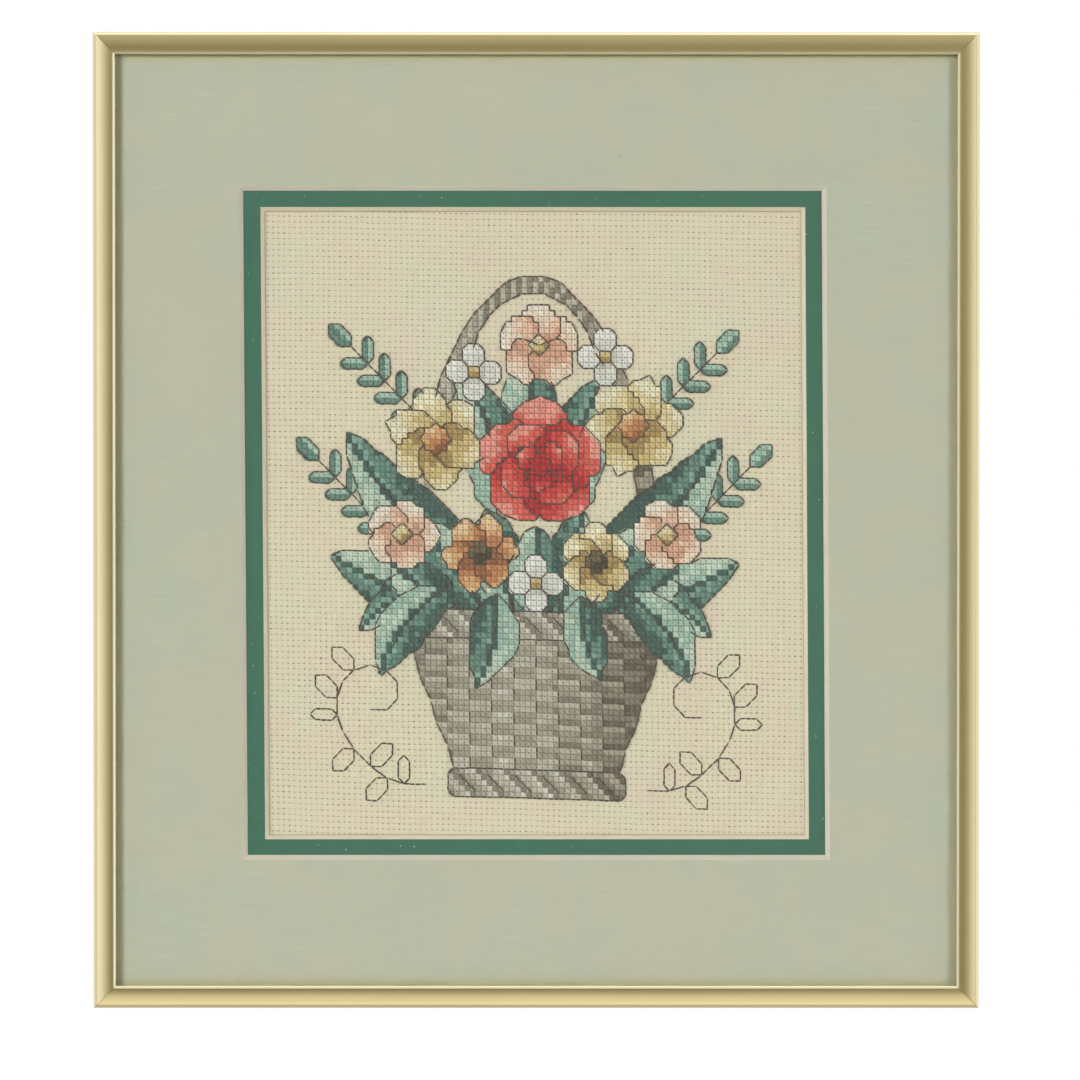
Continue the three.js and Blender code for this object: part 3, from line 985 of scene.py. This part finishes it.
def strands(starts, ends, rings, spread, half_width, half_height, lift, side):
    """Closed strands between points of the picture plane, as (points, triangles, quads, uv) arrays.

    Starts and ends are (n, 2). Rings are shares of the length. Spread is how far a strand lies to its side of the
    stitch's line, half_width and half_height its section and lift its middle's height above the cloth, at each of the
    tip, the rings and the far tip.
    """
    n, count = len(starts), len(rings)
    way = ends - starts
    length = np.hypot(way[:, 0], way[:, 1])[:, None]
    across = np.stack([-way[:, 1], way[:, 0]], -1) / length
    shares = np.concatenate([[TIP], rings, [1 - TIP]])
    line = starts[:, None] + way[:, None] * shares[None, :, None]
    line = line + across[:, None] * (side * spread)[..., None]
    angles = np.pi / 2 + np.arange(SIDES) * 2 * np.pi / SIDES
    ring_line = line[:, 1:-1]
    ring = ring_line[:, :, None] + across[:, None, None] * (
        half_width[:, 1:-1, None] * np.cos(angles))[..., None]
    height = lift[:, 1:-1, None] + half_height[:, 1:-1, None] * np.sin(angles)
    body = np.stack([ring[..., 0], CLOTH_FRONT - height, ring[..., 1]], -1).reshape(n, -1, 3)
    tips = np.stack([line[:, [0, -1], 0], CLOTH_FRONT - lift[:, [0, -1]], line[:, [0, -1], 1]], -1)
    points = np.concatenate([body, tips], 1)
    per = points.shape[1]
    k = np.arange(SIDES)
    after = (k + 1) % SIDES
    quads = np.concatenate([np.stack([k, k + SIDES, after + SIDES, after], -1) + r * SIDES
                            for r in range(count - 1)])
    last = (count - 1) * SIDES
    fans = np.concatenate([np.stack([np.full(SIDES, per - 2), k, after], -1),
                           np.stack([np.full(SIDES, per - 1), last + after, last + k], -1)])
    base = (np.arange(n) * per)[:, None, None]
    u = np.concatenate([np.repeat(rings, SIDES), [TIP, 1 - TIP]])[None] * length
    v = np.concatenate([np.tile(k / SIDES, count), [0.5, 0.5]])
    uv = np.stack([u, np.broadcast_to(v, u.shape)], -1)
    return (points.reshape(-1, 3), (fans[None] + base).reshape(-1, 3), (quads[None] + base).reshape(-1, 4),
            uv.reshape(-1, 2))


def join(parts):
    """Several (points, triangles, quads, uv) as one."""
    points, triangles, quads, uv = [], [], [], []
    total = 0
    for p, t, q, w in parts:
        points.append(p)
        triangles.append(t + total)
        quads.append(q + total)
        uv.append(w)
        total += len(p)
    return np.concatenate(points), np.concatenate(triangles), np.concatenate(quads), np.concatenate(uv)


# For each kind of leg: its rings as shares of its length, then from tip to tip how far its two plies lie apart,
# their half widths and half heights, and how high their middles run
LEGS = {
    "under": ((0.14, 0.5, 0.86), (0.05, 0.18, 0.28, 0.18, 0.05), (0, 0.25, 0.31, 0.25, 0),
              (0, 0.15, 0.15, 0.15, 0), (-0.35, 0.05, 0.13, 0.05, -0.35)),
    "over": ((0.12, 0.36, 0.64, 0.88), (0.05, 0.18, 0.28, 0.28, 0.18, 0.05), (0, 0.25, 0.32, 0.32, 0.25, 0),
             (0, 0.17, 0.19, 0.19, 0.17, 0), (-0.35, 0.12, 0.38, 0.38, 0.12, -0.35)),
    "quarter": ((0.24, 0.8), (0.05, 0.18, 0.25, 0.14), (0, 0.25, 0.30, 0), (0, 0.16, 0.16, 0),
                (-0.35, 0.1, 0.26, 0.05)),
}


def leg(starts, ends, kind):
    """Two plies of floss for each leg of a cross. A quarter one goes from a hole to its square's middle."""
    rings, spread, wide, high, lift = [np.array(row) for row in LEGS[kind]]
    size = (len(starts), 1)
    parts = []
    for side in (-1, 1):
        loose = 1 + 0.10 * random.normal(0, 1, size)
        plump = 1 + 0.08 * random.normal(0, 1, size)
        raised = 0.03 * random.normal(0, 1, size)
        parts.append(strands(starts, ends, rings, spread * loose, wide * plump, high * plump,
                             lift + raised * (wide > 0), side))
    return join(parts)


def spots(i, j):
    """Places of the weave as rows of x and z."""
    return np.stack(weave(i, j), -1)


def cross_stitches(number):
    """All stitches in one floss: whole crosses, and quarters where a square is shared or its corner is bare."""
    has = (canvas == number).reshape(ROWS, 2, COLUMNS, 2).transpose(0, 2, 1, 3)
    parts = []
    for (i, j), (far_i, far_j), kind in (((0, 0), (1, 1), "under"), ((0, 1), (1, 0), "over")):
        first, second = has[..., j, i], has[..., far_j, far_i]
        rows, columns = np.nonzero(first & second)
        if len(rows):
            parts.append(leg(spots(columns + i, rows + j), spots(columns + far_i, rows + far_j), kind))
        for alone, x, y in ((first & ~second, i, j), (second & ~first, far_i, far_j)):
            rows, columns = np.nonzero(alone)
            if len(rows):
                middle = spots(columns + 0.5 + 0.06 * (0.5 - x), rows + 0.5 + 0.06 * (0.5 - y))
                parts.append(leg(spots(columns + x, rows + y), middle, "quarter"))
    return join(parts) if parts else None


def outline_stitches():
    """Back stitch in one strand from hole to hole, riding over any crosses that it passes."""
    pairs = np.array(sorted(lines))
    a, b = pairs[:, 0], pairs[:, 1]
    n = len(pairs)
    stitched = np.pad((canvas >= 0).astype(int), 2)
    column, row = (np.floor(a + b).astype(int) + 2).T
    around = sum(stitched[row + dr, column + dc] for dr in (-1, 0) for dc in (-1, 0))
    slanted = (a[:, 0] != b[:, 0]) & (a[:, 1] != b[:, 1])
    over = np.where(around > 0, np.where(slanted, 0.62, 0.40), 0.16)
    tip = np.full(n, -0.15)
    lift = np.stack([tip, over * 0.72, over, over * 0.72, tip], -1)
    plump = 1 + 0.10 * random.normal(0, 1, (n, 1))
    wide = np.array([0, 0.235, 0.265, 0.235, 0]) * plump
    high = np.array([0, 0.16, 0.18, 0.16, 0]) * plump
    bow = np.array([0, 0.5, 1, 0.5, 0]) * 0.05 * random.normal(0, 1, (n, 1))
    return strands(spots(*a.T), spots(*b.T), np.array([0.14, 0.5, 0.86]), bow, wide, high, lift, 1)


def add_stitches():
    """A piece for each shade of floss in crosses, and one for the outlines."""
    pieces = []

    def add(name, arrays, colour):
        points, triangles, quads, uv = arrays
        mesh = array_mesh(name, points, [triangles, quads], "thread", uv)
        finish = floss_finish(name, linear(*colour))
        pieces.append(finish_piece(mesh, name, [finish], smooth_below=180))

    for number, (name, step) in enumerate(SHADES):
        arrays = cross_stitches(number)
        if arrays:
            add(f"floss_{name}_{step + 1}", arrays, RAMPS[name][step])
    add("floss_outline", outline_stitches(), (92, 82, 72))
    return pieces


def add_screws(material):
    """Slotted set screws in the corner plates, two to each leg of a plate. A head is two halves about its slot."""
    radius, slot, rise, chamfer = 1.8, 0.32, 0.28, 0.08
    near, far, middle = 14.0, 25.0, 5.35
    shape = bmesh.new()

    def prism(outline, low, high, chamfer=0.0):
        rings = [[(x, z, low) for x, z in outline], [(x, z, high - chamfer) for x, z in outline]]
        if chamfer:
            rings.append([(x * 0.92, z * 0.92, high) for x, z in outline])
        made = [[shape.verts.new(place((cx + x, depth, cz + z))) for x, z, depth in ring] for ring in rings]
        count = len(outline)
        for lower, upper in zip(made, made[1:]):
            for k in range(count):
                shape.faces.new((lower[k], lower[(k + 1) % count], upper[(k + 1) % count], upper[k]))
        shape.faces.new(made[-1])
        shape.faces.new(list(reversed(made[0])))

    start = math.asin(slot / radius)
    half_disc = arc(0, 0, radius, start, math.pi - start, 12)
    disc_edge = arc(0, 0, 0.99 * radius, 0, 2 * math.pi, 24)[:-1]
    places = [(side_x * (WIDTH / 2 - in_x), side_z * (HEIGHT / 2 - in_z)) for side_x in (-1, 1) for side_z in (-1, 1)
              for in_x, in_z in ((near, middle), (far, middle), (middle, near), (middle, far))]
    for number, (cx, cz) in enumerate(places, 1):
        half = laid_out(half_disc, 0, 0, 0.9 * number)
        prism(disc_edge, PLATE_BACK - 0.9, PLATE_BACK + 0.02)
        prism(half, PLATE_BACK - 0.5, PLATE_BACK + rise, chamfer)
        prism([(-x, -z) for x, z in half], PLATE_BACK - 0.5, PLATE_BACK + rise, chamfer)
    bmesh.ops.recalc_face_normals(shape, faces=shape.faces)
    mesh = bpy.data.meshes.new("set_screws")
    shape.to_mesh(mesh)
    shape.free()
    finish_piece(mesh, "set_screws", [material], smooth_below=30)


def add_floor():
    """A pale floor far enough below to stay out of the main view."""
    mesh = bpy.data.meshes.new("floor")
    count, half = 12, 3.0
    steps = np.linspace(-half, half, count + 1)
    points = [(x, y, -1.0) for y in steps for x in steps]
    row = count + 1
    faces = [(k, k + 1, k + row + 1, k + row) for r in range(count) for k in range(r * row, r * row + count)]
    mesh.from_pydata(points, [], faces)
    mesh.materials.append(floor_finish())
    floor = bpy.data.objects.new("floor", mesh)
    floor.visible_glossy = False
    bpy.context.scene.collection.objects.link(floor)


# How bright the studio looks in the metal: straight ahead, and what its sides and ceiling add
STUDIO_AHEAD, STUDIO_LEFT, STUDIO_RIGHT, STUDIO_ABOVE = 0.175, 0.90, 1.06, 0.72
STUDIO_OVERHEAD, STUDIO_BEHIND, STUDIO_BEHIND_TOP, STUDIO_BELOW = 0.60, 0.50, 0.85, 0.46
# The soft light on everything that scatters
FILL_ABOVE, FILL_BELOW, FILL_BEHIND = 0.03, 0.10, 0.60
LEFT_WATTS, RIGHT_WATTS, LOW_WATTS = 54.5, 38.0, 0.42


def add_world():
    """White behind the picture, a studio that the metal mirrors, and a soft fill on whatever scatters light.

    The studio is bright above and to the sides, and dark about the camera.
    """
    world = bpy.data.worlds.new("studio")
    bpy.context.scene.world = world
    world.use_nodes = True
    world.node_tree.nodes.clear()
    w = Nodes(world.node_tree)
    across, away, up = w.parts(w.add("TexCoord").outputs["Generated"])

    left, right = [w.times(w.math("POWER", w.between(across, 0.0, end), fall), most)
                   for end, fall, most in ((-0.85, 2.2, STUDIO_LEFT), (0.85, 1.2, STUDIO_RIGHT))]
    level = w.between(w.math("ABSOLUTE", across), 0.94, 1.0, 1.0, 0.6)
    glow = w.times(w.plus(left, right), level)
    above = w.plus(w.between(up, 0.05, 0.45, 0.0, STUDIO_ABOVE), w.between(up, 0.84, 0.96, 0.0, STUDIO_OVERHEAD))
    behind = w.times(w.between(away, 0.0, 0.5), w.between(up, 0.0, 0.6, STUDIO_BEHIND, STUDIO_BEHIND_TOP))
    for part in (above, behind, w.between(up, -0.1, -0.95, 0.0, STUDIO_BELOW)):
        glow = w.math("MAXIMUM", glow, part)
    glow = w.plus(glow, STUDIO_AHEAD)
    ceiling = w.times(w.between(up, 0.2, 0.5), w.between(away, -0.05, -0.35))
    bright = w.mix(ceiling, (0.97, 1.07, 1.42, 1), (1.0, 1.03, 1.16, 1))
    tint = w.mix(w.between(glow, 0.25, 1.0), (1.0, 0.98, 0.82, 1), bright)
    studio = w.add("Background", tint, glow).outputs[0]

    strength = w.plus(w.between(up, 1.0, -1.0, FILL_ABOVE, FILL_BELOW), w.between(away, 0.1, 0.6, 0.0, FILL_BEHIND))
    fill = w.add("Background", (1, 1, 1, 1), strength).outputs[0]
    paper = w.add("Background", (1, 1, 1, 1), 1.0).outputs[0]
    rays = w.add("LightPath").outputs
    scattered = w.math("GREATER_THAN", rays["Diffuse Depth"], 0.5)
    lit = w.add("MixShader", scattered, studio, fill).outputs[0]
    w.add("OutputWorld", w.add("MixShader", rays["Is Camera Ray"], lit, paper).outputs[0])
    world.cycles.sampling_method = "NONE"


scene = bpy.context.scene
scene.view_settings.view_transform = "Standard"
add_camera()
add_world()
add_floor()
add_side_lamp("lamp_left", -31.5, LEFT_WATTS)
add_side_lamp("lamp_right", 36, RIGHT_WATTS)
add_lamp("lamp_low", (0, -0.47, -0.53), (math.radians(118), 0, 0), 1.1, 0.2, LOW_WATTS)

# The rails' gold, and a smoother copy for the bead whose paler colour is a painted highlight
gold = [gold_finish("gold_anodised", (0.81, 0.65, 0.30, 1), (0.865, 0.705, 0.34, 1), 0.34, 0.29),
        gold_finish("gold_bead", (0.89, 0.765, 0.42, 1), (0.93, 0.82, 0.48, 1), 0.38, 0.32)]
for order, name in enumerate(("rail_bottom", "rail_right", "rail_top", "rail_left")):
    add_rail(name, HEIGHT if order % 2 else WIDTH, order, gold)

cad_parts["glass"].data.materials[0] = glass_finish()
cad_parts["mounting_board"].data.materials[0] = board_finish()
steel = steel_finish()
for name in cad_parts:
    if name.startswith("corner_plate"):
        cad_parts[name].data.materials[0] = steel
add_screws(steel)

sage = mat_paper("sage_paper", linear(189, 193, 171), linear(181, 184, 162), linear(196, 187, 167),
                 linear(152, 152, 132), 0.79, 0.9)
teal = mat_paper("teal_paper", linear(70, 113, 94), linear(64, 104, 87), linear(64, 115, 91),
                 linear(200, 215, 205), 0.75, 0.45)
sage_core = core_paper("sage_core", linear(228, 218, 200), linear(208, 199, 182))
teal_core = core_paper("teal_core", linear(233, 222, 198), linear(212, 201, 178))
# The foot of the inner bevel: the board's backing liner, made darker as painted shade in the line between bevel and
# cloth
foot_liner_and_shade = core_paper("liner_and_painted_shade", linear(204, 190, 162), linear(176, 158, 128))
add_mat("outer_mat", OUTER_WINDOW, OUTER_MAT_FRONT, [sage, sage_core, sage_core])
add_mat("inner_mat", INNER_WINDOW, INNER_MAT_FRONT, [teal, teal_core, foot_liner_and_shade])

draw_chart()
cloth = add_cloth(cloth_finish())
stitches = add_stitches()
